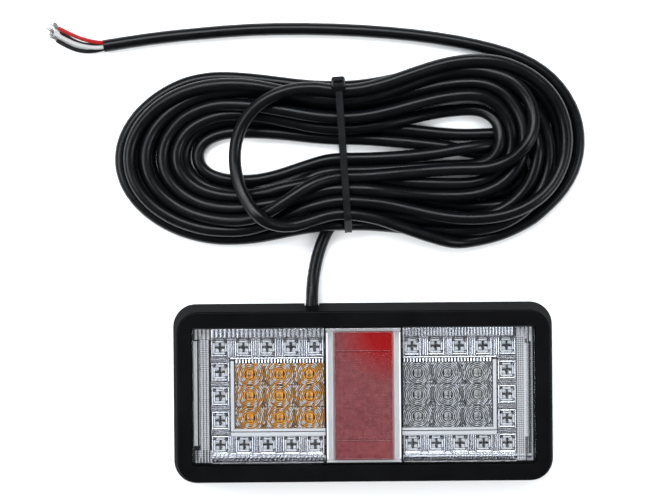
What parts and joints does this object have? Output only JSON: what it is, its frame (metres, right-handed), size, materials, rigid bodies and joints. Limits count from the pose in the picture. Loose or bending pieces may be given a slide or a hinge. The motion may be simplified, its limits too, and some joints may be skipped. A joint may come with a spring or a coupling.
{
  "type": "trailer tail light",
  "caption": "Rectangular trailer tail light: clear lens over amber turn and clear stop and tail lamps, red reflex reflector, black clip-on surround, long cable in a tied hank.",
  "frame": {"origin": "centre of the lamp's back face, where it meets the mounting surface", "axes": "+Z out of the lens, +X along the lamp away from the turn lamps, +Y towards the edge that the cable leaves from"},
  "size_m": [0.2836, 0.2432, 0.0306],
  "materials": {
    "black_plastic": "moulded, fine texture",
    "bezel_plastic": "satin moulded",
    "seal_rubber": "matte",
    "clear_lens": "clear polycarbonate",
    "board_laminate": "black solder mask",
    "amber_led": "amber epoxy",
    "clear_led": "water-clear epoxy",
    "ceramic_chip": "glazed",
    "chip_plastic": "moulded",
    "screw_steel": "zinc plated",
    "metallised_plastic": "vacuum metallised",
    "amber_optic": "tinted acrylic",
    "clear_optic": "clear acrylic",
    "white_plastic": "moulded",
    "red_reflector": "prismatic acrylic",
    "core_insulation": "PVC",
    "cable_sheath": "smooth PVC, semi-gloss",
    "tie_nylon": "nylon",
    "red_insulation": "PVC",
    "white_insulation": "PVC",
    "black_insulation": "PVC",
    "brown_insulation": "PVC",
    "tinned_copper": "tinned strands"
  },
  "bodies": {
    "lamp": {"rear_housing": "black_plastic", "outer_lens": "clear_lens", "circuit_board": "board_laminate", "turn_leds": "amber_led", "stop_leds": "clear_led", "tail_leds_left": "clear_led", "tail_leds_right": "clear_led", "resistors": "ceramic_chip", "regulator_chips": "chip_plastic", "input_diodes": "chip_plastic", "board_screws": "screw_steel", "left_reflector_tray": "metallised_plastic", "right_reflector_tray": "metallised_plastic", "turn_optic": "amber_optic", "stop_optic": "clear_optic", "tail_optic_left": "clear_optic", "tail_optic_right": "clear_optic", "reflector_backing": "white_plastic", "reflex_reflector": "red_reflector", "cable_clamp": "chip_plastic", "clamp_screws": "screw_steel", "inner_leads": "core_insulation", "lens_seal": "seal_rubber", "cable_lead": "cable_sheath", "cable_hank": "cable_sheath", "cable_tail": "cable_sheath", "cable_tie_strap": "tie_nylon", "cable_tie_head": "tie_nylon", "conductor_red": "red_insulation", "conductor_white": "white_insulation", "conductor_black": "black_insulation", "conductor_brown": "brown_insulation", "conductor_tips": "tinned_copper", "cable_grommet": "seal_rubber"},
    "surround": {"front_bezel": "bezel_plastic"}
  },
  "joints": [
    {"name": "bezel_lift", "type": "slide", "parent": "lamp", "child": "surround", "axis": [0, 0, 1], "range_m": [0, 0.03]}
  ]
}
